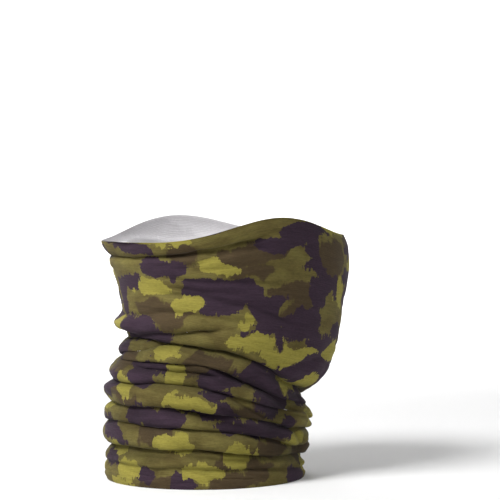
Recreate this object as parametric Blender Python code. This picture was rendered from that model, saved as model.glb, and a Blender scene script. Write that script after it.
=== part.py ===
"""Neck gaiter: a knitted tube worn over nose, jaw and neck, with a blank woven label.

Metres, +Z up, the wearer looks along -Y. The origin is under the middle of the tube, which
stands on its bottom edge. The tube is one knitted piece; it is modelled here as the four
stretches that behave differently, with the label and its thread as separate pieces.
"""

import math
from collections import namedtuple

import bmesh
import bpy
from mathutils import Vector

# Face section, as worn over the nose and the jaw (outside sizes)
HEAD_BREADTH = 0.158
HEAD_DEPTH = 0.206
NOSE_HEIGHT = 0.192
CHEEK_HEIGHT = 0.204
BACK_HEIGHT = 0.185
JAW_BREADTH = 0.145
JAW_DEPTH = 0.1735
NAPE_INSET = 0.0165  # how far the nape lies in front of the back of the head
FACE_TAPER = 0.07  # the face is this much narrower towards the nose
CHEEK_NARROWNESS = 6  # the higher, the shorter the rise of the top edge over each cheek
BAND_INSET = 0.0041  # how far the back of the top band's lower edge lies in front of its top
JAW_RISE = 0.016  # from the neck's top to the jaw's lower edge, in front
NAPE_RISE = 0.013  # the same, behind
CHIN_INSET = 0.008  # the jaw's lower edge lies this far behind the chin
NAPE_EASE = 0.001
CHIN_SHARE = 0.25  # where the chin and the mouth lie between jaw edge and top band
MOUTH_SHARE = 0.6
MOUTH_INSET = 0.005  # the mouth lies this far behind the nose
MOUTH_NAPE_EASE = 0.004

# Neck section, where the tube is gathered
NECK_BREADTH = 0.154
NECK_DEPTH = 0.168
NECK_SHIFT = 0.0195  # the neck's middle lies this far behind the head's
CHIN_HEIGHT = 0.066
NAPE_HEIGHT = 0.101
CHIN_NECK_DEPTH = 0.155  # depth of the neck's top, right under the chin
ROLLS = 6
ROLL_RELIEF = 0.004
ROLL_STEPS = 4  # rings to each roll

# Walls, bands and gaps
FACE_WALL = 0.004
NECK_WALL = 0.010
EDGE_BAND = 0.012
GAP = 0.0003

# Label, sewn inside the top band at the back
LABEL_WIDTH = 0.024
LABEL_SEWN = 0.0035  # height of the strip that the stitching holds down
LABEL_DROP = 0.012  # height of the free flap under it
LABEL_THICKNESS = 0.0008
LABEL_SET_DOWN = 0.002  # label's top edge, below the tube's top edge
STITCH_DIAMETER = 0.0006
STITCH_LENGTH = 0.003
STITCH_MARGIN = 0.0015  # from the stitching to the label's sides

SEGMENTS = 48
FACE_STEPS = 4  # rings between two of the face's own
SHARP_ANGLE = 40
HEAD_MIDDLE = -0.001

Ring = namedtuple("Ring", "front_z back_z front_y back_y breadth lift taper")

FACE_FRONT = HEAD_MIDDLE - HEAD_DEPTH / 2
FACE_BACK = HEAD_MIDDLE + HEAD_DEPTH / 2
NECK_MIDDLE = HEAD_MIDDLE + NECK_SHIFT
NECK_FRONT = NECK_MIDDLE - NECK_DEPTH / 2
NECK_BACK = NECK_MIDDLE + NECK_DEPTH / 2
NAPE_BACK = FACE_BACK - NAPE_INSET
JAW_FRONT = NAPE_BACK - JAW_DEPTH
CHEEK_LIFT = CHEEK_HEIGHT - (NOSE_HEIGHT + BACK_HEIGHT) / 2


def clear_scene():
    for thing in list(bpy.data.objects):
        bpy.data.objects.remove(thing, do_unlink=True)


def make_material(name, color, roughness):
    material = bpy.data.materials.new(name)
    material.use_nodes = True
    shader = material.node_tree.nodes["Principled BSDF"]
    shader.inputs["Base Color"].default_value = (*color, 1.0)
    shader.inputs["Roughness"].default_value = roughness
    shader.inputs["Metallic"].default_value = 0.0
    return material


def place(ring, angle):
    """A point of a ring; angle 0 is the front, and it runs through the wearer's left."""
    middle = (ring.front_y + ring.back_y) / 2
    depth = (ring.back_y - ring.front_y) / 2
    height = (ring.front_z + ring.back_z) / 2
    slope = (ring.front_z - ring.back_z) / 2
    x = ring.breadth / 2 * math.sin(angle) * (1 - ring.taper * math.cos(angle))
    y = middle - depth * math.cos(angle)
    z = height + slope * math.cos(angle) + ring.lift * math.sin(angle) ** CHEEK_NARROWNESS
    return Vector((x, y, z))


def shrink(ring, wall):
    """The same ring, one wall further in."""
    return ring._replace(front_y=ring.front_y + wall, back_y=ring.back_y - wall,
                         breadth=ring.breadth - 2 * wall)


def between(low, high, share):
    """The ring that lies a share of the way from the low ring to the high one."""
    return Ring(*(a + (b - a) * share for a, b in zip(low, high)))


def raise_ring(ring, rise):
    return ring._replace(front_z=ring.front_z + rise, back_z=ring.back_z + rise)


def smooth_rings(rings, steps):
    """More rings on a smooth curve through the given ones."""
    made = []
    last = len(rings) - 1
    for index in range(last):
        before = rings[max(index - 1, 0)]
        low, high = rings[index], rings[index + 1]
        after = rings[min(index + 2, last)]
        for step in range(steps):
            t = step / steps
            made.append(Ring(*(
                0.5 * (2 * b + (c - a) * t + (2 * a - 5 * b + 4 * c - d) * t * t
                       + (3 * b - a - 3 * c + d) * t ** 3)
                for a, b, c, d in zip(before, low, high, after))))
    made.append(rings[last])
    return made


def loft(name, rings, material):
    """A closed band: one loop extruded from ring to ring and joined back to its start."""
    mesh = bmesh.new()
    turn = mesh.verts.layers.float.new("turn")
    bmesh.ops.create_circle(mesh, segments=SEGMENTS, radius=1.0)
    for vert in mesh.verts:
        vert[turn] = math.atan2(vert.co.x, -vert.co.y)
        vert.co = place(rings[0], vert[turn])
    first = list(mesh.edges)
    edges = first
    for ring in rings[1:]:
        made = bmesh.ops.extrude_edge_only(mesh, edges=edges)["geom"]
        edges = [item for item in made if isinstance(item, bmesh.types.BMEdge)]
        for vert in made:
            if isinstance(vert, bmesh.types.BMVert):
                vert.co = place(ring, vert[turn])
    bmesh.ops.bridge_loops(mesh, edges=first + edges)
    bmesh.ops.recalc_face_normals(mesh, faces=mesh.faces)
    return add_object(name, mesh, material)


def add_object(name, mesh, material):
    data = bpy.data.meshes.new(name)
    mesh.to_mesh(data)
    mesh.free()
    data.shade_smooth()
    data.set_sharp_from_angle(angle=math.radians(SHARP_ANGLE))
    data.materials.append(material)
    made = bpy.data.objects.new(name, data)
    bpy.context.scene.collection.objects.link(made)
    return made


def wall_band(name, outside, wall, material):
    """A band of even wall: up the outside, over its top edge and down the inside."""
    inside = [shrink(ring, wall) for ring in reversed(outside)]
    return loft(name, outside + inside, material)


def bottom_ring():
    return Ring(0.0, 0.0, NECK_FRONT + ROLL_RELIEF, NECK_BACK - ROLL_RELIEF / 2,
                NECK_BREADTH - ROLL_RELIEF, 0.0, 0.0)


def neck_low_ring():
    return Ring(EDGE_BAND, EDGE_BAND, NECK_FRONT, NECK_BACK, NECK_BREADTH, 0.0, 0.0)


def neck_high_ring():
    back = (NAPE_BACK + NECK_BACK) / 2
    return Ring(CHIN_HEIGHT, NAPE_HEIGHT, back - CHIN_NECK_DEPTH, back, JAW_BREADTH, 0.0, 0.0)


def top_ring():
    return Ring(NOSE_HEIGHT, BACK_HEIGHT, FACE_FRONT, FACE_BACK, HEAD_BREADTH, CHEEK_LIFT, FACE_TAPER)


def band_ring():
    """The lower edge of the top band."""
    return raise_ring(top_ring(), -EDGE_BAND)._replace(back_y=FACE_BACK - BAND_INSET)


def make_bottom_band(material):
    top = raise_ring(neck_low_ring(), -GAP)
    rings = [bottom_ring(), between(bottom_ring(), top, 0.5), top]
    return wall_band("bottom_edge_band", rings, NECK_WALL - ROLL_RELIEF, material)


def make_neck(material):
    """The gathered stretch: even rolls outside, a smooth wall inside."""
    low, high = neck_low_ring(), raise_ring(neck_high_ring(), -GAP)
    steps = ROLLS * ROLL_STEPS
    outside = []
    for step in range(steps + 1):
        share = step / steps
        valley = ROLL_RELIEF * (0.5 + 0.5 * math.cos(2 * math.pi * ROLLS * share))
        outside.append(shrink(between(low, high, share), valley))
    inside = [shrink(between(high, low, step / ROLLS), NECK_WALL) for step in range(ROLLS + 1)]
    return loft("neck_tube", outside + inside, material)


def face_rings():
    """From under the chin, over the jaw and the nape, to the top band."""
    top = raise_ring(band_ring(), -GAP)
    jaw = Ring(CHIN_HEIGHT + JAW_RISE, NAPE_HEIGHT + NAPE_RISE, JAW_FRONT + CHIN_INSET,
               NAPE_BACK + NAPE_EASE, JAW_BREADTH, 0.0, FACE_TAPER / 2)
    chin = between(jaw, top, CHIN_SHARE)._replace(front_y=JAW_FRONT, back_y=NAPE_BACK,
                                                  breadth=JAW_BREADTH)
    mouth = between(jaw, top, MOUTH_SHARE)._replace(front_y=FACE_FRONT + MOUTH_INSET,
                                                    back_y=NAPE_BACK + MOUTH_NAPE_EASE)
    return [neck_high_ring(), jaw, chin, mouth, top]


def make_face(material):
    return wall_band("face_tube", smooth_rings(face_rings(), FACE_STEPS), FACE_WALL, material)


def make_top_band(material):
    rings = [band_ring(), between(band_ring(), top_ring(), 0.5), top_ring()]
    return wall_band("top_edge_band", rings, FACE_WALL, material)


def label_frame():
    """Top middle of the label's outer face, the way it hangs, and the way into the tube."""
    top = shrink(top_ring(), FACE_WALL)
    band = shrink(band_ring(), FACE_WALL)
    face = [shrink(ring, FACE_WALL) for ring in reversed(smooth_rings(face_rings(), FACE_STEPS))]
    side = math.pi - math.asin(LABEL_WIDTH / top.breadth)
    upper = place(between(top, band, LABEL_SET_DOWN / EDGE_BAND), side)
    lean = 0.0
    for ring in [band] + face:
        wall = place(ring, side)
        if upper.z - wall.z < LABEL_SEWN + LABEL_DROP + EDGE_BAND:
            lean = max(lean, (upper.y - wall.y) / (upper.z - wall.z))
    hang = Vector((0.0, -lean, -1.0)).normalized()
    inward = Vector((0.0, hang.z, -hang.y))
    return Vector((0.0, upper.y, upper.z)) + inward * GAP, hang, inward


def make_tab(name, drop, pivot_at_inner_face, start, material):
    """A flat piece of label tape that starts this far below the label's top edge."""
    top, hang, inward = label_frame()
    mesh = bmesh.new()
    bmesh.ops.create_cube(mesh, size=1.0)
    for vert in mesh.verts:
        side = vert.co.x * LABEL_WIDTH
        out = (vert.co.y + 0.5 - pivot_at_inner_face) * LABEL_THICKNESS
        down = (vert.co.z + 0.5) * drop
        vert.co = Vector((side, 0.0, 0.0)) + inward * out + hang * down
    edges = [edge for edge in mesh.edges if abs(edge.verts[0].co.x - edge.verts[1].co.x) < GAP]
    bmesh.ops.bevel(mesh, geom=edges, offset=LABEL_THICKNESS / 4, offset_type="OFFSET",
                    segments=1, profile=0.5, affect="EDGES", material=-1)
    bmesh.ops.recalc_face_normals(mesh, faces=mesh.faces)
    tab = add_object(name, mesh, material)
    tab.location = top + hang * start + inward * (pivot_at_inner_face * LABEL_THICKNESS)
    return tab


def make_label(material):
    """The sewn strip, and the free flap with its origin on the crease of its inner face."""
    make_tab("label_sewn_edge", LABEL_SEWN, 0, 0.0, material)
    make_tab("label", LABEL_DROP, 1, LABEL_SEWN + GAP, material)


def make_stitching(material):
    """One run of thread across the sewn strip, zigzag, on its inner face."""
    top, hang, inward = label_frame()
    off = LABEL_THICKNESS + GAP + STITCH_DIAMETER / 2
    count = int((LABEL_WIDTH - 2 * STITCH_MARGIN) / STITCH_LENGTH)
    curve = bpy.data.curves.new("label_stitching", "CURVE")
    curve.dimensions = "3D"
    curve.bevel_depth = STITCH_DIAMETER / 2
    curve.bevel_resolution = 2
    curve.use_fill_caps = True
    line = curve.splines.new("POLY")
    line.points.add(count)
    for index, point in enumerate(line.points):
        along = (index - count / 2) * STITCH_LENGTH
        down = LABEL_SEWN / 2 + (STITCH_DIAMETER if index % 2 else -STITCH_DIAMETER)
        spot = top + Vector((along, 0.0, 0.0)) + inward * off + hang * down
        point.co = (*spot, 1.0)
    curve.materials.append(material)
    made = bpy.data.objects.new("label_stitching", curve)
    bpy.context.scene.collection.objects.link(made)
    return made


def main():
    clear_scene()
    print_cloth = make_material("printed_jersey", (0.10, 0.08, 0.035), 0.85)
    edge_cloth = make_material("edge_jersey", (0.12, 0.11, 0.04), 0.85)
    label_cloth = make_material("label_tape", (0.75, 0.74, 0.72), 0.7)
    thread = make_material("sewing_thread", (0.06, 0.045, 0.06), 0.6)
    make_bottom_band(edge_cloth)
    make_neck(print_cloth)
    make_face(print_cloth)
    make_top_band(edge_cloth)
    make_label(label_cloth)
    make_stitching(thread)


main()
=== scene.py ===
import math
import random

import bmesh
import bpy
import numpy as np
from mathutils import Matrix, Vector, noise


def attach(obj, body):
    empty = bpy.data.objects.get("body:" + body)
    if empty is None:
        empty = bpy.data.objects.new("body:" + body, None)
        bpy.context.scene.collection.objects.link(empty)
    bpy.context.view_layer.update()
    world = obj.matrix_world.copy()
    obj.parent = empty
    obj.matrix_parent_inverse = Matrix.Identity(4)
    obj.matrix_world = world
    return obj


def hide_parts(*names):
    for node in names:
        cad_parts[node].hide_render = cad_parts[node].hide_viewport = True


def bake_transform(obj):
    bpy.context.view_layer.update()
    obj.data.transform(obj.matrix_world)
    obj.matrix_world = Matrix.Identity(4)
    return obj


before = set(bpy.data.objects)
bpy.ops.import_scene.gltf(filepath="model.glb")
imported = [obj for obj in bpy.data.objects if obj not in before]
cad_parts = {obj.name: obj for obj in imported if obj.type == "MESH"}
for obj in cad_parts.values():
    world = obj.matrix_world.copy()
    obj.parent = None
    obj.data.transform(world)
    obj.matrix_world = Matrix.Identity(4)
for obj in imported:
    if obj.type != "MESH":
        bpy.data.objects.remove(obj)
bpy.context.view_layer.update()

mm = 0.001

def linearColour(hexText):
    # sRGB hex text to the linear values that a colour socket takes.
    parts = [int(hexText[i:i + 2], 16) / 255 for i in (1, 3, 5)]
    linear = [p / 12.92 if p <= 0.04045 else ((p + 0.055) / 1.055) ** 2.4 for p in parts]
    return (*linear, 1.0)


def addNode(tree, kind, settings=None, inputs=None):
    # One node with its settings; an input is a value or another node's output socket.
    node = tree.nodes.new(kind)
    for key, value in (settings or {}).items():
        setattr(node, key, value)
    for key, value in (inputs or {}).items():
        socket = node.inputs[key]
        if isinstance(value, bpy.types.NodeSocket):
            tree.links.new(value, socket)
        else:
            socket.default_value = value
    return node


def newMaterial(name):
    material = bpy.data.materials.new(name)
    material.use_nodes = True
    material.node_tree.nodes.clear()
    return material, material.node_tree


def meshObject(name, mesh, materials):
    data = bpy.data.meshes.new(name)
    mesh.to_mesh(data)
    mesh.free()
    data.shade_smooth()
    for material in materials:
        data.materials.append(material)
    made = bpy.data.objects.new(name, data)
    bpy.context.scene.collection.objects.link(made)
    return made


def smoothStep(value):
    value = np.clip(value, 0.0, 1.0)
    return value * value * (3 - 2 * value)


# Angles are degrees round the tube: 0 at the nose, 90 at the wearer's right, 180 at the nape.

gaiterShape = {
    # height in front and behind, front and back of the section, breadth, rise of the sides,
    # narrowing towards the nose; millimetres, from the bottom edge up
    "stations": [
        (0, 0, -58, 99, 148, 0, 0.00),
        (5, 6, -61, 101, 151, 0, 0.00),
        (12, 15, -63, 102, 153, 0, 0.00),
        (24, 34, -66, 103, 154, 0, 0.00),
        (37, 55, -69, 103, 154, 0, 0.00),
        (50, 76, -68, 103, 152, 0, 0.00),
        (60, 90, -64, 98, 148, 0, 0.00),
        (66, 102, -62, 93, 146, 0, 0.01),
        (72, 110, -74, 89, 145, 0, 0.02),
        (80, 117, -84, 88, 145, 0, 0.03),
        (93, 125, -90, 87, 146, 1, 0.05),
        (110, 136, -95, 87, 147, 2, 0.06),
        (130, 148, -99, 89, 150, 4, 0.07),
        (150, 160, -102, 93, 154, 9, 0.07),
        (168, 171, -103, 98, 157, 13, 0.07),
        (182, 180, -102, 101, 158, 16, 0.08),
        (193, 187, -96, 103, 155, 18, 0.10),
    ],
    "flatGirth": 490,
    "columns": 196,
    "neckRows": 152,  # rows up to the jaw, where the folds are
    "faceRows": 80,
    "jawStation": 9,
    "curlRows": 6,
    # the nose lifts the cloth: by how much, how many degrees wide, where it starts, how soon
    # it is full, and where it fades out again under the top edge
    "noseRise": 8.0, "noseSpread": 11.0, "noseFrom": 128, "noseSpan": 34,
    "noseFadeFrom": 166, "noseFadeSpan": 26, "noseFade": 0.9,
    # the top edge lies flatter behind, where the label is sewn in
    "napeDent": 4.5, "napeSpread": 16.0, "napeFrom": 170, "napeSpan": 12,
    "deepest": 12.0, "lowest": 4.5,  # no fold goes further in or hangs further down
    "thickness": 0.3,
    "overhang": 0.8,  # how far a fold may hang below the cloth under it
    "ironing": 1,  # rounds of smoothing where folds meet
}

# The folds gathered round the neck lie close together in front and fan out behind.
neckFolds = {
    "count": 7,
    # heights of the lowest and the highest valley every 60 degrees, from the nose round
    "lowest": (8, 10, 14, 14, 13, 9),
    "highest": (64, 75, 106, 112, 108, 80),
    "depth": 9.0, "lowestDepth": 3.5, "width": 2.4, "wander": 3.2,
}
# Creases and ridges run between two places, each an angle and a height; sag is how far the
# middle hangs below the straight line.
creases = [
    # under the top edge behind
    {"ends": (100, 190, 235, 182), "sag": 12, "depth": 5.0, "width": 1.5},
    {"ends": (100, 182, 150, 175), "sag": 0, "depth": 3.0, "width": 1.3},
    {"ends": (245, 186, 300, 185), "sag": 4, "depth": 2.2, "width": 1.8},
    # light pulls over cheek and jaw
    {"ends": (90, 155, 150, 158), "sag": 0, "depth": 2.2, "width": 1.7},
    {"ends": (85, 125, 155, 147), "sag": -5, "depth": 2.8, "width": 1.7},
    {"ends": (105, 125, 150, 133), "sag": 0, "depth": 2.0, "width": 1.6},
    {"ends": (110, 148, 150, 152), "sag": 0, "depth": 1.3, "width": 1.5},
    {"ends": (225, 150, 290, 130), "sag": -2, "depth": 1.7, "width": 2.8},
    {"ends": (330, 128, 390, 130), "sag": 5, "depth": 1.4, "width": 2.8},
    # pinched where the head meets the nape
    {"ends": (155, 133, 205, 130), "sag": 2, "depth": 2.6, "width": 1.7},
    {"ends": (125, 120, 235, 118), "sag": 2, "depth": 6.0, "width": 1.8},
    {"ends": (110, 103, 230, 112), "sag": -4, "depth": 6.5, "width": 1.5},
    {"ends": (150, 108, 225, 98), "sag": 2, "depth": 6.0, "width": 1.6},
    {"ends": (225, 128, 280, 106), "sag": -2, "depth": 3.2, "width": 2.2},
    # folds that fork under the jaw, the chin and the ears
    {"ends": (50, 96, 95, 100), "sag": 5, "depth": 2.0, "width": 2.2},
    {"ends": (55, 35, 105, 68), "sag": 0, "depth": 6.0, "width": 1.5},
    {"ends": (60, 58, 110, 88), "sag": 0, "depth": 6.0, "width": 1.5},
    {"ends": (120, 86, 165, 90), "sag": 0, "depth": 4.5, "width": 1.4},
    {"ends": (170, 90, 210, 90), "sag": 0, "depth": 2.6, "width": 1.5},
    {"ends": (235, 90, 270, 76), "sag": 0, "depth": 3.6, "width": 1.5},
    {"ends": (260, 65, 305, 42), "sag": 0, "depth": 6.0, "width": 1.5},
    {"ends": (330, 92, 390, 92), "sag": 6, "depth": 2.2, "width": 2.2},
]
ridges = [
    {"ends": (180, 122, 235, 122), "sag": 0, "rise": 6.5, "width": 4.4},
    {"ends": (175, 73, 220, 74), "sag": 0, "rise": 2.0, "width": 4.5},
    {"ends": (0, 44, 65, 54), "sag": 3, "rise": 6.0, "width": 6.0},
    {"ends": (0, 22, 65, 28), "sag": 2, "rise": 4.0, "width": 6.0},
    {"ends": (165, 179, 220, 184), "sag": 0, "rise": 1.6, "width": 3.6},
]
# how far up from jaw to top edge the lines lie that the small creases of the face join
faceShares = (0.3, 0.62, 0.88)
neckCreases = {"count": 96, "seed": 11, "span": (22, 64), "depth": (1.4, 4.2), "width": (0.9, 1.6)}
faceCreases = {"count": 44, "seed": 5, "span": (20, 50), "depth": (0.5, 1.7), "width": (1.0, 1.8)}


def spline(points, place):
    # Values of a smooth curve through the given rows, at places counted in rows.
    points = np.array(points, float)
    last = len(points) - 1
    index = np.minimum(place.astype(int), last - 1)
    t = (place - index)[:, None]
    before = points[np.maximum(index - 1, 0)]
    low = points[index]
    high = points[index + 1]
    after = points[np.minimum(index + 2, last)]
    return 0.5 * (2 * low + (high - before) * t + (2 * before - 5 * low + 4 * high - after) * t ** 2
                  + (3 * low - before - 3 * high + after) * t ** 3)


def ringHeights(heights, degrees):
    # Periodic smooth curve through heights spaced evenly round the tube.
    values = np.array(heights, float)
    count = len(values)
    place = (degrees % 360) / 360 * count
    index = place.astype(int)
    t = place - index
    before = values[(index - 1) % count]
    low = values[index % count]
    high = values[(index + 1) % count]
    after = values[(index + 2) % count]
    return 0.5 * (2 * low + (high - before) * t + (2 * before - 5 * low + 4 * high - after) * t ** 2
                  + (3 * low - before - 3 * high + after) * t ** 3)


creaseFade = 14.0  # degrees over which a crease dies out at each end
creaseWander = 1.2  # millimetres that a crease strays from its line


def creaseLine(crease, degrees):
    # Height of a crease at each angle, and how strong it is there.
    first, low, last, high = crease["ends"]
    middle, fade = (first + last) / 2, creaseFade
    turned = (degrees - middle + 180) % 360 - 180 + middle
    along = np.clip((turned - first) / (last - first), 0, 1)
    line = low + (high - low) * along - crease["sag"] * 4 * along * (1 - along)
    reach = fade * 0.6
    rise = smoothStep((turned - first + reach) / fade)
    fall = smoothStep((last + reach - turned) / fade)
    return line, rise * fall


foldProfile = {
    "rounding": 0.7,  # millimetres over which the bottom of a valley is rounded
    "below": 1.7, "above": 0.85,  # reach of a valley below and above its line, in widths
    "hangsFrom": 3.5, "hangsFully": 6.5,  # depths between which a fold starts to hang over
    "dip": 0.3,  # how far a shallow crease drops, in widths
    "droop": 0.55,  # how far a fold hangs over its valley, for each millimetre of depth
    "branchDroop": 0.45,
}


def valleyOffsets(rise, depth, width, droop, strength):
    # How far in and how far down the cloth goes; rise is the height above the valley line.
    shape = foldProfile
    soft = shape["rounding"]
    # the fold below is tucked well in under the one that hangs over it
    reach = np.where(rise < 0, shape["below"], shape["above"]) * width
    inward = depth * np.exp(-(np.sqrt(rise ** 2 + soft ** 2) - soft) / reach)
    above = np.clip(rise, 0, None) / width
    # only a deep fold hangs over; a shallow crease just dips
    hanging = smoothStep((depth * strength - shape["hangsFrom"])
                         / (shape["hangsFully"] - shape["hangsFrom"]))
    droop = droop * strength * hanging + shape["dip"] * width * strength * (1 - hanging)
    # starts gently, so that the fold does not pass through the cloth below it
    return inward * strength, droop * (above * np.exp(1 - above)) ** 2


def branchCreases(height, degrees, guides, creases):
    # Small creases that leave one fold and run into the next, with a fixed seed.
    draw = random.Random(creases["seed"])
    inward, down = np.zeros_like(height), np.zeros_like(height)
    for number in range(creases["count"]):
        low = draw.randrange(len(guides) - 1)
        start, span = draw.uniform(0, 360), draw.uniform(*creases["span"])
        first = draw.uniform(0, 1)
        last = min(max(first + draw.uniform(-0.5, 0.5), 0), 1)
        along = ((degrees - start) % 360) / span
        strength = smoothStep(along * 3) * smoothStep((1 - along) * 3)
        share = first + (last - first) * along
        line = guides[low] * (1 - share) + guides[low + 1] * share
        depth = draw.uniform(*creases["depth"])
        width = draw.uniform(*creases["width"])
        a, b = valleyOffsets(height - line, depth, width, foldProfile["branchDroop"] * depth,
                             strength)
        inward, down = inward + a, down + b
    return inward, down


def roundNoise(degrees, wide, seed):
    # One smooth random value per angle; wide counts the waves round the tube.
    return np.array([[noise.noise(Vector((wide * math.cos(t), wide * math.sin(t), seed + 0.37)))
                      for t in np.radians(degrees[0])]])


def tubeSurface():
    shape = gaiterShape
    columns, jaw = shape["columns"], shape["jawStation"]
    degrees = np.linspace(0, 360, columns + 1)[None, :]
    places = np.concatenate([np.linspace(0, jaw, shape["neckRows"], endpoint=False),
                             np.linspace(jaw, len(shape["stations"]) - 1, shape["faceRows"])])
    stations = spline(shape["stations"], places)
    frontZ, backZ, frontY, backY, breadth, lift, taper = (stations[:, i:i + 1] for i in range(7))
    turn = np.radians(degrees)
    share = (1 + np.cos(turn)) / 2
    lean = 1.0 + 0.35 * smoothStep((80 - backZ) / 60)
    height = backZ + (frontZ - backZ) * share ** lean + lift * np.sin(turn) ** 6
    x = -breadth / 2 * np.sin(turn) * (1 - taper * np.cos(turn))
    y = (frontY + backY) / 2 - (backY - frontY) / 2 * np.cos(turn)
    # outward direction in plan
    outX = -np.sin(turn) * (backY - frontY) / 2
    outY = -np.cos(turn) * breadth / 2
    size = np.hypot(outX, outY)
    outX, outY = outX / size, outY / size
    inward, down = np.zeros_like(x), np.zeros_like(x)
    lines = []
    folds = neckFolds
    for number in range(folds["count"]):
        share = number / (folds["count"] - 1)
        heights = [a + (b - a) * share for a, b in zip(folds["lowest"], folds["highest"])]
        line = ringHeights(heights, degrees) + folds["wander"] * roundNoise(degrees, 1.6, number)
        lines.append(line)
        depth = folds["depth"] if number else folds["lowestDepth"]
        vary = np.clip(0.95 + 0.6 * roundNoise(degrees, 1.9, 20 + number), 0.6, 1.3)
        width = folds["width"] * (1 + 0.8 * roundNoise(degrees, 2.6, 40 + number))
        a, b = valleyOffsets(height - line, depth, width, foldProfile["droop"] * depth, vary)
        inward, down = inward + a, down + b
    for number, crease in enumerate(creases):
        line, strength = creaseLine(crease, degrees)
        line = line + creaseWander * roundNoise(degrees, 6.0, 60 + number)
        depth = crease["depth"]
        a, b = valleyOffsets(height - line, depth, crease["width"], foldProfile["droop"] * depth,
                             strength)
        inward, down = inward + a, down + b
    a, b = branchCreases(height, degrees, lines, neckCreases)
    inward, down = inward + a, down + b
    edge = height[-1:]
    faceLines = [lines[-1]] + [lines[-1] + (edge - lines[-1]) * share for share in faceShares]
    a, b = branchCreases(height, degrees, faceLines, faceCreases)
    inward, down = inward + a, down + b
    for ridge in ridges:
        line, strength = creaseLine(ridge, degrees)
        bulge = np.exp(-((height - line) / ridge["width"]) ** 2)
        inward = inward - ridge["rise"] * strength * bulge
    nose = np.exp(-((degrees + 180) % 360 - 180) ** 2 / (2 * shape["noseSpread"] ** 2))
    starts = smoothStep((height - shape["noseFrom"]) / shape["noseSpan"])
    fades = smoothStep((height - shape["noseFadeFrom"]) / shape["noseFadeSpan"])
    inward = inward - shape["noseRise"] * nose * starts * (1 - shape["noseFade"] * fades)
    nape = np.exp(-((degrees - 180) / shape["napeSpread"]) ** 2)
    dented = smoothStep((height - shape["napeFrom"]) / shape["napeSpan"])
    inward = inward + shape["napeDent"] * nape * dented
    deepest, lowest = shape["deepest"], shape["lowest"]
    inward = np.where(inward > 0, deepest * np.tanh(inward / deepest), inward)
    down = lowest * np.tanh(down / lowest)
    # the fold lines' own level, so that the fine creases run with them
    level = height - lines[3]
    return degrees, height, level, x, y, outX, outY, inward, down


clothWaves = {
    # length round the tube and up it, in millimetres
    "base": (30, 9), "fine": (15, 4.2), "sharp": (26, 6.5),
    "baseHeight": 0.9, "fineHeight": 0.4, "sharpness": 9,
}


def ripples(x, y, level):
    # Uneven waves of the cloth, longer round the tube than up it, and sharp little creases.
    wave = clothWaves
    (longBase, tallBase), (longFine, tallFine) = wave["base"], wave["fine"]
    longSharp, tallSharp = wave["sharp"]
    base = noise.noise(Vector((x / longBase, y / longBase, level / tallBase)))
    fine = noise.noise(Vector((x / longFine + 7, y / longFine, level / tallFine)))
    sharp = 1 - abs(noise.noise(Vector((x / longSharp + 3, y / longSharp, level / tallSharp))))
    return wave["baseHeight"] * base + wave["fineHeight"] * fine, sharp ** wave["sharpness"]


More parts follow.
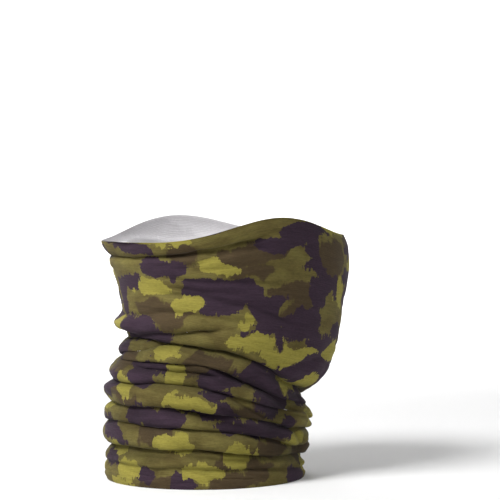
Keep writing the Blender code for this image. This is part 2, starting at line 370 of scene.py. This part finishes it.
def buildTube(outside, inside):
    shape = gaiterShape
    degrees, height, level, x, y, outX, outY, inward, down = tubeSurface()
    rows, columns = x.shape[0], x.shape[1] - 1
    gathered = smoothStep((126 - height) / 40)
    waves = np.array([[ripples(x[r, c], y[r, c], level[r, c]) for c in range(columns)]
                      for r in range(rows)])
    waves = np.concatenate([waves, waves[:, :1]], axis=1)
    wave = waves[:, :, 0] * (0.5 + 0.9 * gathered) - waves[:, :, 1] * (0.25 + 0.75 * gathered)
    edgeFade = smoothStep(height / 5)
    push = (wave - inward) * edgeFade
    px, py = x + outX * push, y + outY * push
    pz = height - down * edgeFade - 0.25 * wave * edgeFade
    # no fold hangs further over the one below it than this
    pz = np.maximum(pz, np.maximum.accumulate(pz, axis=0) - shape["overhang"])
    # soften the points where folds meet
    for ironed in range(shape["ironing"]):
        for grid in (px, py, pz):
            grid[1:-1] = (grid[:-2] + 2 * grid[1:-1] + grid[2:]) / 4
            ring = grid[:, :-1]
            grid[:, :-1] = (np.roll(ring, 1, axis=1) + 2 * ring + np.roll(ring, -1, axis=1)) / 4
            grid[:, -1] = grid[:, 0]
    # the knit's raw top edge curls outwards, most at the back
    curl = shape["curlRows"]
    back = np.exp(-((degrees - 172) / 15.0) ** 2)[0]
    for step in range(curl):
        row = rows - curl + step
        arc = (step + 1) / curl * (0.75 + 1.35 * back)
        radius = 0.9 + 0.25 * back
        base = rows - curl - 1
        px[row] = px[base] + outX[base] * radius * (1 - np.cos(arc))
        py[row] = py[base] + outY[base] * radius * (1 - np.cos(arc))
        pz[row] = pz[base] + radius * np.sin(arc)
    steps = sum(np.diff(grid, axis=0) ** 2 for grid in (px, py, pz))
    climb = np.sqrt(steps).mean(axis=1)
    path = np.concatenate([[0.0], np.cumsum(climb)])
    print("cloth path from edge to edge:", round(float(path[-1]), 1), "mm")
    mesh = bmesh.new()
    bmesh.ops.create_grid(mesh, x_segments=columns, y_segments=rows - 1, size=1.0, calc_uvs=True)
    cloth = mesh.verts.layers.float_vector.new("cloth")
    place = mesh.verts.layers.float_vector.new("printPlace")
    # painted shade: how deep each point lies in the folds, kept to darken the print there in place
    # of shadow
    paintedFoldShade = mesh.verts.layers.float.new("paintedFoldShade")
    foldShadeAmount = 1 - np.exp(-np.clip(inward + waves[:, :, 1] - 1.6, 0, None) * edgeFade / 4.0)
    girth = shape["flatGirth"] / (2 * math.pi)  # the tube's radius when it isn't stretched
    for vert in mesh.verts:
        c = round((vert.co.x + 1) / 2 * columns)
        r = round((vert.co.y + 1) / 2 * (rows - 1))
        turn = math.radians(degrees[0, c])
        vert[cloth] = Vector((girth * math.cos(turn), girth * math.sin(turn), path[r])) * mm
        vert[place] = Vector((degrees[0, c % columns], height[r, c], 0.0))
        vert[paintedFoldShade] = foldShadeAmount[r, c % columns]
        vert.co = Vector((px[r, c % columns], py[r, c % columns], pz[r, c % columns])) * mm
    bmesh.ops.remove_doubles(mesh, verts=mesh.verts, dist=1e-7)
    mesh.normal_update()
    # the printed side faces away from the middle of the tube
    outwardness = 0.0
    for face in list(mesh.faces)[:2000]:
        centre = face.calc_center_median()
        outwardness += face.normal.dot(centre - Vector((0, 0.01, centre.z)))
    if outwardness < 0:
        bmesh.ops.reverse_faces(mesh, faces=mesh.faces)
    return meshObject("gaiter_tube", mesh, [outside, inside])


printRadius = 84.0  # mean radius of the worn tube
# A plain woodland print. The large patches are listed one by one: degrees round the tube and
# millimetres up it, then half width, half height and tilt. It repeats twice round the tube.
printPatches = {
    "aubergine": [
        (72, 192, 24, 7, 0), (72, 178, 11, 10, 0), (70, 166, 15, 7, 0), (64, 146, 20, 14, 0),
        (74, 122, 22, 14, 0), (60, 95, 18, 18, 0), (122, 148, 34, 11, 6), (94, 133, 22, 14, 8),
        (152, 167, 22, 8, 0), (170, 181, 24, 5, 0),
        (185, 145, 11, 16, 0), (178, 120, 24, 9, 0), (155, 92, 26, 8, 5), (195, 78, 20, 10, 0),
        (80, 70, 24, 12, 30),
    ],
    "chartreuse": [
        (122, 168, 14, 6, 14), (162, 151, 15, 7, 0), (106, 111, 13, 7, 14), (90, 101, 12, 9, 20),
        (110, 126, 6, 7, 0), (150, 106, 13, 4, 5), (140, 88, 10, 8, 0), (175, 77, 10, 8, 0),
        (48, 146, 8, 14, -10),
    ],
    "bark": [
        (105, 176, 30, 9, -6), (58, 170, 22, 18, 0), (155, 132, 28, 9, 5), (80, 132, 12, 16, 0),
        (120, 92, 26, 8, 10),
    ],
    # places that keep the ground colour
    "olive": [
        (92, 162, 17, 12, 0), (112, 182, 18, 6, 0), (186, 166, 12, 8, 0), (135, 116, 22, 6, 4),
    ],
}
# ground colour inside the aubergine, and aubergine inside the chartreuse
printLeaves = [(84, 140, 11, 11, 0), (58, 128, 9, 15, 0), (62, 178, 11, 13, 0)]
printHoles = [(90, 108, 4, 8, -18), (108, 118, 7, 2.5, -6)]
# the rest is scattered between them
printScatter = {
    "seed": 3, "tries": 900, "top": 206.0,
    "kinds": ("aubergine", "olive", "bark", "aubergine", "chartreuse", "olive"),
    "halfWidth": (11, 22), "halfHeight": (5, 9), "tilt": (-6, 14), "closeness": 0.62,
}


def scatterPatches():
    # Fill the gaps between the large patches.
    scatter = printScatter
    draw = random.Random(scatter["seed"])
    patches = {name: list(rows) for name, rows in printPatches.items()}
    placed = 0
    for number in range(scatter["tries"]):
        angle, level = draw.uniform(0, 180), draw.uniform(0, scatter["top"])
        wide, tall = draw.uniform(*scatter["halfWidth"]), draw.uniform(*scatter["halfHeight"])
        tilt = draw.uniform(*scatter["tilt"])
        near = min(math.hypot(math.radians((angle - a + 90) % 180 - 90) * printRadius / (w + wide),
                              (level - b) / (h + tall))
                   for rows in patches.values() for a, b, w, h, slope in rows)
        if near > scatter["closeness"]:
            kind = scatter["kinds"][placed % len(scatter["kinds"])]
            patches[kind].append((angle, level, wide, tall, tilt))
            placed += 1
    print("scattered patches:", placed)
    return patches


def driftField(degrees, height):
    # How far the printed outlines wander from plain ovals, in millimetres round and up.
    turn = np.radians(degrees)
    around, up = [], []
    for t, z in zip(turn, height):
        spot = Vector((5.4 * math.cos(t), 5.4 * math.sin(t), z / 15))
        around.append(7.5 * noise.noise(spot) + 5.0 * noise.noise(spot * 2.3))
        up.append(5.0 * noise.noise(spot + Vector((9, 3, 5)))
                  + 3.6 * noise.noise(spot * 2.3 + Vector((2, 8, 4))))
    return np.array(around), np.array(up)


def patchField(patches, degrees, height):
    # Signed distance to the nearest patch edge, about in millimetres, positive inside.
    best = np.full(degrees.shape, -14.0)
    radius = 78 + 12 * smoothStep((height - 90) / 60)
    for angle, level, halfWidth, halfHeight, tilt in patches:
        gap = (degrees - angle + 90) % 180 - 90
        along = np.radians(gap) * radius
        up = height - level
        slope = math.radians(tilt)
        u = (along * math.cos(slope) + up * math.sin(slope)) / halfWidth
        v = (up * math.cos(slope) - along * math.sin(slope)) / halfHeight
        r = np.sqrt(u * u + v * v) + 1e-6
        # distance measured along the ray to the ellipse's edge
        distance = (1 - r) / r * np.hypot(along, up)
        distance = np.where(r < 1, np.minimum(distance, min(halfWidth, halfHeight)), distance)
        reach = 2.5
        blend = np.clip(0.5 + 0.5 * (distance - best) / reach, 0, 1)
        best = best * (1 - blend) + distance * blend + reach * blend * (1 - blend) * 0.6
    return np.clip(best, -14, 14)


def paintPrint(tube):
    data = tube.data
    count = len(data.vertices)
    values = np.zeros(count * 3)
    data.attributes["printPlace"].data.foreach_get("vector", values)
    place = values.reshape(-1, 3)
    around, up = driftField(place[:, 0], place[:, 1])
    degrees, height = place[:, 0] + np.degrees(around / 85), place[:, 1] + up
    patches = scatterPatches()
    hole = patchField(printHoles, degrees, height)
    leaf = patchField(printLeaves, degrees, height)
    for name in ("aubergine", "chartreuse", "bark"):
        field = patchField(patches[name], degrees, height)
        if name == "chartreuse":
            field = np.minimum(field, -hole)
        if name == "aubergine":
            field = np.maximum(np.minimum(field, -leaf), hole)
        layer = data.attributes.new(name, "FLOAT", "POINT")
        layer.data.foreach_set("value", field.astype(np.float32))
    data.attributes.remove(data.attributes["printPlace"])


jerseyLook = {
    "olive": "#686034", "oliveDeep": "#544A28", "bark": "#463A28", "aubergine": "#352833",
    "chartreuse": "#867E39", "white": "#E4E2E4",
    "toothReach": 9.0,  # length of the teeth of the printed outlines
    "roughness": 0.9, "sheen": 0.03, "specular": 0.12,
    "courseGap": 1.3,  # real courses are about 0.6 mm apart, drawn coarser to show
}


# Uneven patterns of the yarn and the print: size round the tube and up it in millimetres,
# detail, and an offset that keeps them apart.
grains = {
    "tallTeeth": (2.2, 10.0, 3.0, 0.0),
    "wideTeeth": (8.0, 2.2, 3.0, 3.0),
    "streaks": (14.0, 1.4, 4.0, 11.0),
    "clouds": (26.0, 14.0, 3.0, 17.0),
    "fibres": (2.2, 0.8, 3.0, 23.0),
    "reverseFibres": (1.6, 0.9, 2.0, 23.0),
    "courseDrift": (20.0, 6.0, 2.0, 31.0),
    "loops": (0.9, 0.7, 2.0, 37.0),
    "slub": (9.0, 1.1, 3.0, 41.0),
    "twist": (0.25, 0.25, 2.0, 0.0),
}


def grainPattern(tree, coords, name):
    # One of the patterns above, as a value from 0 to 1.
    sizeRound, sizeUp, detail, offset = grains[name]
    scale = (1 / (sizeRound * mm), 1 / (sizeRound * mm), 1 / (sizeUp * mm))
    mapping = addNode(tree, "ShaderNodeMapping", None,
                      {"Vector": coords, "Location": (offset, offset, offset), "Scale": scale})
    pattern = addNode(tree, "ShaderNodeTexNoise", {"noise_dimensions": "3D"}, {
        "Vector": mapping.outputs[0], "Scale": 1.0, "Detail": detail, "Roughness": 0.6})
    return pattern.outputs["Fac"]


def patchMask(tree, name, comb, reach, crisp):
    # How much of a printed colour shows; comb shakes the outline by up to reach millimetres.
    field = addNode(tree, "ShaderNodeAttribute", {"attribute_name": name}).outputs["Fac"]
    shaken = addNode(tree, "ShaderNodeMath", {"operation": "MULTIPLY_ADD"},
                     {0: comb, 1: reach, 2: field})
    return addNode(tree, "ShaderNodeMapRange", {"interpolation_type": "SMOOTHSTEP"},
                   {"Value": shaken.outputs[0], "From Min": -crisp, "From Max": crisp}).outputs[0]


def jerseyShader(tree, colour, shade, coords, bumpStrength):
    look = jerseyLook
    tone = addNode(tree, "ShaderNodeHueSaturation", None,
                   {"Value": shade, "Color": colour}).outputs[0]
    shader = addNode(tree, "ShaderNodeBsdfPrincipled", None, {
        "Base Color": tone, "Roughness": look["roughness"], "Sheen Weight": look["sheen"],
        "Sheen Roughness": 0.5, "Specular IOR Level": look["specular"],
        "Normal": knitBump(tree, coords, bumpStrength)})
    addNode(tree, "ShaderNodeOutputMaterial", None, {"Surface": shader.outputs[0]})


def printedJersey():
    # Polyester single jersey with a transfer print: dull, slightly fuzzy, fine courses round it.
    look = jerseyLook
    material, tree = newMaterial("printed_polyester_jersey")
    coords = addNode(tree, "ShaderNodeAttribute", {"attribute_name": "cloth"}).outputs["Vector"]
    tall = grainPattern(tree, coords, "tallTeeth")
    wide = grainPattern(tree, coords, "wideTeeth")
    fullComb = addNode(tree, "ShaderNodeMath", {"operation": "MULTIPLY_ADD"},
                       {0: wide, 1: 0.6, 2: tall})
    comb = addNode(tree, "ShaderNodeMath", {"operation": "SUBTRACT"},
                   {0: fullComb.outputs[0], 1: 0.8}).outputs[0]
    streaks = grainPattern(tree, coords, "streaks")
    clouds = grainPattern(tree, coords, "clouds")
    cloudy = addNode(tree, "ShaderNodeMapRange", None,
                     {"Value": clouds, "From Min": 0.36, "From Max": 0.64})
    colour = addNode(tree, "ShaderNodeMix", {"data_type": "RGBA"}, {
        0: cloudy.outputs[0], 6: linearColour(look["oliveDeep"]),
        7: linearColour(look["olive"])}).outputs[2]
    # the brown is brushed on softly, the other two colours end in short crisp teeth
    edges = (("bark", 1.5, 0.8), ("aubergine", 0.3, 1.0), ("chartreuse", 0.3, 1.0))
    for name, crisp, reach in edges:
        mask = patchMask(tree, name, comb, look["toothReach"] * reach, crisp)
        colour = addNode(tree, "ShaderNodeMix", {"data_type": "RGBA"},
                         {0: mask, 6: colour, 7: linearColour(look[name])}).outputs[2]
    grain = grainPattern(tree, coords, "fibres")
    wear = addNode(tree, "ShaderNodeMath", {"operation": "ADD"}, {0: grain, 1: streaks})
    shade = addNode(tree, "ShaderNodeMapRange", None, {
        "Value": wear.outputs[0], "From Min": 0.7, "From Max": 1.3, "To Min": 0.82, "To Max": 1.2})
    # painted shade: the print's colour is darkened deep in the folds, standing in for shadow in
    # folds tighter than the mesh
    foldShadeAmount = addNode(tree, "ShaderNodeAttribute", {"attribute_name": "paintedFoldShade"}).outputs["Fac"]
    foldShadow = addNode(tree, "ShaderNodeMapRange", None,
                      {"Value": foldShadeAmount, "To Min": 1.0, "To Max": 0.42})
    toneAndFoldShadow = addNode(tree, "ShaderNodeMath", {"operation": "MULTIPLY"},
                    {0: shade.outputs[0], 1: foldShadow.outputs[0]})
    jerseyShader(tree, colour, toneAndFoldShadow.outputs[0], coords, 0.55)
    return material


def knitBump(tree, coords, strength):
    # Courses as soft ridges round the tube, broken up by the yarn's unevenness.
    drift = grainPattern(tree, coords, "courseDrift")
    wander = addNode(tree, "ShaderNodeMath", {"operation": "MULTIPLY"}, {0: drift, 1: 9.0})
    level = addNode(tree, "ShaderNodeSeparateXYZ", None, {"Vector": coords}).outputs["Z"]
    pitch = 2 * math.pi / (jerseyLook["courseGap"] * mm)
    phase = addNode(tree, "ShaderNodeMath", {"operation": "MULTIPLY_ADD"},
                    {0: level, 1: pitch, 2: wander.outputs[0]})
    courses = addNode(tree, "ShaderNodeMath", {"operation": "SINE"}, {0: phase.outputs[0]})
    loops = grainPattern(tree, coords, "loops")
    slub = grainPattern(tree, coords, "slub")
    rough = addNode(tree, "ShaderNodeMath", {"operation": "MULTIPLY_ADD"},
                    {0: slub, 1: 2.0, 2: loops})
    height = addNode(tree, "ShaderNodeMath", {"operation": "MULTIPLY_ADD"},
                     {0: courses.outputs[0], 1: 0.5, 2: rough.outputs[0]})
    bump = addNode(tree, "ShaderNodeBump", None, {
        "Strength": strength, "Distance": 0.14 * mm, "Height": height.outputs[0]})
    return bump.outputs[0]


def whiteReverse():
    # The jersey's unprinted back: white, with a little of the print's colour showing through.
    look = jerseyLook
    material, tree = newMaterial("white_jersey_reverse")
    coords = addNode(tree, "ShaderNodeAttribute", {"attribute_name": "cloth"}).outputs["Vector"]
    tall = grainPattern(tree, coords, "tallTeeth")
    comb = addNode(tree, "ShaderNodeMath", {"operation": "SUBTRACT"}, {0: tall, 1: 0.5}).outputs[0]
    mask = patchMask(tree, "aubergine", comb, look["toothReach"], 3.0)
    faint = addNode(tree, "ShaderNodeMath", {"operation": "MULTIPLY_ADD"},
                    {0: mask, 1: 0.12, 2: 0.05})
    colour = addNode(tree, "ShaderNodeMix", {"data_type": "RGBA"}, {
        0: faint.outputs[0], 6: linearColour(look["white"]),
        7: linearColour(look["aubergine"])}).outputs[2]
    grain = grainPattern(tree, coords, "reverseFibres")
    shade = addNode(tree, "ShaderNodeMapRange", None, {
        "Value": grain, "From Min": 0.3, "From Max": 0.7, "To Min": 0.93, "To Max": 1.03})
    jerseyShader(tree, colour, shade.outputs[0], coords, 0.6)
    return material


labelLook = {
    "tape": "#E6E3DA", "thread": "#3B3038",
    "weave": 0.5,  # real yarns are about 0.2 mm apart, drawn coarser to show
}
labelShape = {
    "width": 24.0, "sewn": 3.5, "drop": 12.0, "thickness": 0.3, "bow": 0.6, "curl": 0.7,
    # upper edge of the sewn strip, and the way the tape hangs and faces into the tube
    "top": (0.0, 95.45, 183.1), "hang": (0.0, -0.331, -0.944), "inward": (0.0, -0.944, 0.331),
    "stitch": 3.0, "stitchSwing": 0.6, "threadRadius": 0.26,
}


def labelTape():
    # Woven polyester tape: off-white with a slight satin gleam and a plain weave.
    material, tree = newMaterial("woven_polyester_tape")
    coords = addNode(tree, "ShaderNodeTexCoord").outputs["Object"]
    parts = addNode(tree, "ShaderNodeSeparateXYZ", None, {"Vector": coords})
    pitch = 2 * math.pi / (labelLook["weave"] * mm)
    waves = []
    for axis in ("X", "Z"):
        phase = addNode(tree, "ShaderNodeMath", {"operation": "MULTIPLY"},
                        {0: parts.outputs[axis], 1: pitch})
        wave = addNode(tree, "ShaderNodeMath", {"operation": "SINE"}, {0: phase.outputs[0]})
        waves.append(wave.outputs[0])
    weave = addNode(tree, "ShaderNodeMath", {"operation": "MULTIPLY"},
                    {0: waves[0], 1: waves[1]}).outputs[0]
    shade = addNode(tree, "ShaderNodeMapRange", None, {
        "Value": weave, "From Min": -1.0, "From Max": 1.0, "To Min": 0.9, "To Max": 1.04})
    tone = addNode(tree, "ShaderNodeHueSaturation", None,
                   {"Value": shade.outputs[0], "Color": linearColour(labelLook["tape"])})
    bump = addNode(tree, "ShaderNodeBump", None,
                   {"Strength": 0.5, "Distance": 0.1 * mm, "Height": weave})
    shader = addNode(tree, "ShaderNodeBsdfPrincipled", None, {
        "Base Color": tone.outputs[0], "Roughness": 0.55, "Sheen Weight": 0.2,
        "Specular IOR Level": 0.45, "Normal": bump.outputs[0]})
    addNode(tree, "ShaderNodeOutputMaterial", None, {"Surface": shader.outputs[0]})
    return material


def sewingThread():
    # Spun polyester thread: dark, matt, with a little fuzz that breaks up the highlight.
    material, tree = newMaterial("spun_polyester_thread")
    coords = addNode(tree, "ShaderNodeTexCoord").outputs["Object"]
    twist = grainPattern(tree, coords, "twist")
    bump = addNode(tree, "ShaderNodeBump", None,
                   {"Strength": 0.6, "Distance": 0.08 * mm, "Height": twist})
    shader = addNode(tree, "ShaderNodeBsdfPrincipled", None, {
        "Base Color": linearColour(labelLook["thread"]), "Roughness": 0.65, "Sheen Weight": 0.3,
        "Specular IOR Level": 0.35, "Normal": bump.outputs[0]})
    addNode(tree, "ShaderNodeOutputMaterial", None, {"Surface": shader.outputs[0]})
    return material


def tapePoint(along, down, into, curl=0.0):
    # A place on the label: millimetres across it, down it, and into the tube from its middle.
    shape = labelShape
    bow = shape["bow"] * (along / (shape["width"] / 2)) ** 2
    depth = into - 0.5 * shape["thickness"] + bow + curl
    return (Vector(shape["top"]) + Vector((along, 0, 0)) + Vector(shape["hang"]) * down
            + Vector(shape["inward"]) * depth) * mm


def buildTape(name, start, drop, curl, material):
    # A strip of label tape; the free end of the flap curls a little into the tube.
    mesh = bmesh.new()
    across, rows = 24, 12
    bmesh.ops.create_grid(mesh, x_segments=across, y_segments=rows, size=1.0)
    for vert in mesh.verts:
        along = vert.co.x * labelShape["width"] / 2
        share = (1 - vert.co.y) / 2
        wave = 0.12 * math.sin(along * 0.5) * share
        vert.co = tapePoint(along, start + share * drop, 0.0, curl * share ** 2 + wave * curl)
    bmesh.ops.recalc_face_normals(mesh, faces=mesh.faces)
    tape = meshObject(name, mesh, [material])
    thick = tape.modifiers.new("tape thickness", "SOLIDIFY")
    thick.thickness = labelShape["thickness"] * mm
    thick.offset = 0.0
    return tape


def buildStitches(material):
    # Zigzag lockstitch: each float of thread dips into the tape at both ends.
    shape = labelShape
    count = int((shape["width"] - shape["stitch"]) / shape["stitch"])
    radius = shape["threadRadius"] * mm
    mesh = bmesh.new()
    for number in range(count):
        ends = []
        for side in (number, number + 1):
            swing = shape["stitchSwing"] if side % 2 else -shape["stitchSwing"]
            ends.append(tapePoint((side - count / 2) * shape["stitch"], shape["sewn"] / 2 + swing,
                                  0.45 * shape["thickness"]))
        made = bmesh.ops.create_uvsphere(mesh, u_segments=10, v_segments=12, radius=1.0)["verts"]
        way = ends[1] - ends[0]
        turn = way.to_track_quat("Z", "Y")
        for vert in made:
            local = Vector((vert.co.x * radius, vert.co.y * radius, vert.co.z * way.length * 0.52))
            vert.co = (ends[0] + ends[1]) / 2 + turn @ local
    return meshObject("label_threads", mesh, [material])


outside = printedJersey()
inside = whiteReverse()
tube = buildTube(outside, inside)
paintPrint(tube)
thick = tube.modifiers.new("cloth thickness", "SOLIDIFY")
thick.thickness = gaiterShape["thickness"] * mm
thick.offset = -1.0
thick.use_rim = True
thick.material_offset = 1
thick.material_offset_rim = 0
print("gaiter tube:", len(tube.data.polygons), "faces")

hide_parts("bottom_edge_band", "neck_tube", "face_tube", "top_edge_band")
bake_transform(tube)

tapeMaterial, threadMaterial = labelTape(), sewingThread()
creaseGap = 0.1  # millimetres between the sewn strip and the flap
flap = buildTape("label_flap_tape", labelShape["sewn"] + creaseGap, labelShape["drop"],
                 labelShape["curl"], tapeMaterial)
strip = buildTape("label_sewn_tape", 0.0, labelShape["sewn"], 0.0, tapeMaterial)
threads = buildStitches(threadMaterial)
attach(flap, "label_flap")
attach(strip, "top_edge")
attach(threads, "top_edge")
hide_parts("label")
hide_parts("label_sewn_edge")
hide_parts("label_stitching")
print("label: flap, sewn strip and", len(threads.data.polygons), "thread faces")

# Studio: pale floor that sweeps up all round, soft key light from the left, camera

studio = {
    "floor": "#E9E9E9", "floorRadius": 2.6, "wall": 3.2, "sweep": 0.9,
    "cameraTurn": 238, "cameraRise": 2.0, "lens": 150, "frameWidth": 394 * mm,
    "aim": (-9.2 * mm, -14.7 * mm, 177 * mm),
}


def pointFrom(turn, rise, distance):
    a, e = math.radians(turn), math.radians(rise)
    return Vector((math.sin(a) * math.cos(e), -math.cos(a) * math.cos(e), math.sin(e))) * distance


def buildFloor():
    material, tree = newMaterial("matt_painted_floor")
    shader = addNode(tree, "ShaderNodeBsdfPrincipled", None, {
        "Base Color": linearColour(studio["floor"]), "Roughness": 0.9, "Specular IOR Level": 0.1})
    addNode(tree, "ShaderNodeOutputMaterial", None, {"Surface": shader.outputs[0]})
    mesh = bmesh.new()
    profile = [mesh.verts.new((0, 0, 0)), mesh.verts.new((studio["floorRadius"], 0, 0))]
    for step in range(1, 9):
        arc = step / 8 * math.pi / 2
        profile.append(mesh.verts.new((studio["floorRadius"] + studio["sweep"] * math.sin(arc), 0,
                                       studio["sweep"] * (1 - math.cos(arc)))))
    profile.append(mesh.verts.new((studio["floorRadius"] + studio["sweep"], 0, studio["wall"])))
    for low, high in zip(profile, profile[1:]):
        mesh.edges.new((low, high))
    bmesh.ops.spin(mesh, geom=mesh.verts[:] + mesh.edges[:], cent=(0, 0, 0), axis=(0, 0, 1),
                   dvec=(0, 0, 0), angle=2 * math.pi, steps=64, use_merge=True)
    bmesh.ops.remove_doubles(mesh, verts=mesh.verts, dist=1e-5)
    bmesh.ops.recalc_face_normals(mesh, faces=mesh.faces)
    floor = meshObject("studio_floor", mesh, [material])


def addLight(name, spot, target, size, power):
    data = bpy.data.lights.new(name, "AREA")
    data.shape = "DISK"
    data.size = size
    data.energy = power
    lamp = bpy.data.objects.new(name, data)
    bpy.context.scene.collection.objects.link(lamp)
    lamp.location = spot
    lamp.rotation_euler = (target - spot).to_track_quat("-Z", "Y").to_euler()


def addCamera():
    data = bpy.data.cameras.new("camera")
    data.lens = studio["lens"]
    distance = studio["frameWidth"] * studio["lens"] / data.sensor_width
    camera = bpy.data.objects.new("camera", data)
    bpy.context.scene.collection.objects.link(camera)
    aim = Vector(studio["aim"])
    camera.location = aim + pointFrom(studio["cameraTurn"], studio["cameraRise"], distance)
    camera.rotation_euler = (aim - camera.location).to_track_quat("-Z", "Y").to_euler()
    bpy.context.scene.camera = camera


buildFloor()
middle = Vector((0, 0, 0.1))
addLight("key_softbox", pointFrom(192, 50, 1.5), middle, 0.6, 27)
addLight("fill_softbox", pointFrom(318, 20, 1.9), middle, 1.4, 3)
addLight("rim_softbox", pointFrom(70, 44, 1.8), middle, 1.0, 8)
for turn in (18, 98):
    addLight("backdrop_light", pointFrom(turn, 20, 2.2), pointFrom(58, 2, 3.4), 0.8, 50)
world = bpy.data.worlds.new("studio_air")
world.use_nodes = True
world.node_tree.nodes["Background"].inputs[0].default_value = (1, 1, 1, 1)
world.node_tree.nodes["Background"].inputs[1].default_value = 0.14
bpy.context.scene.world = world
bpy.context.scene.view_settings.view_transform = "Standard"
addCamera()
print("studio ready")
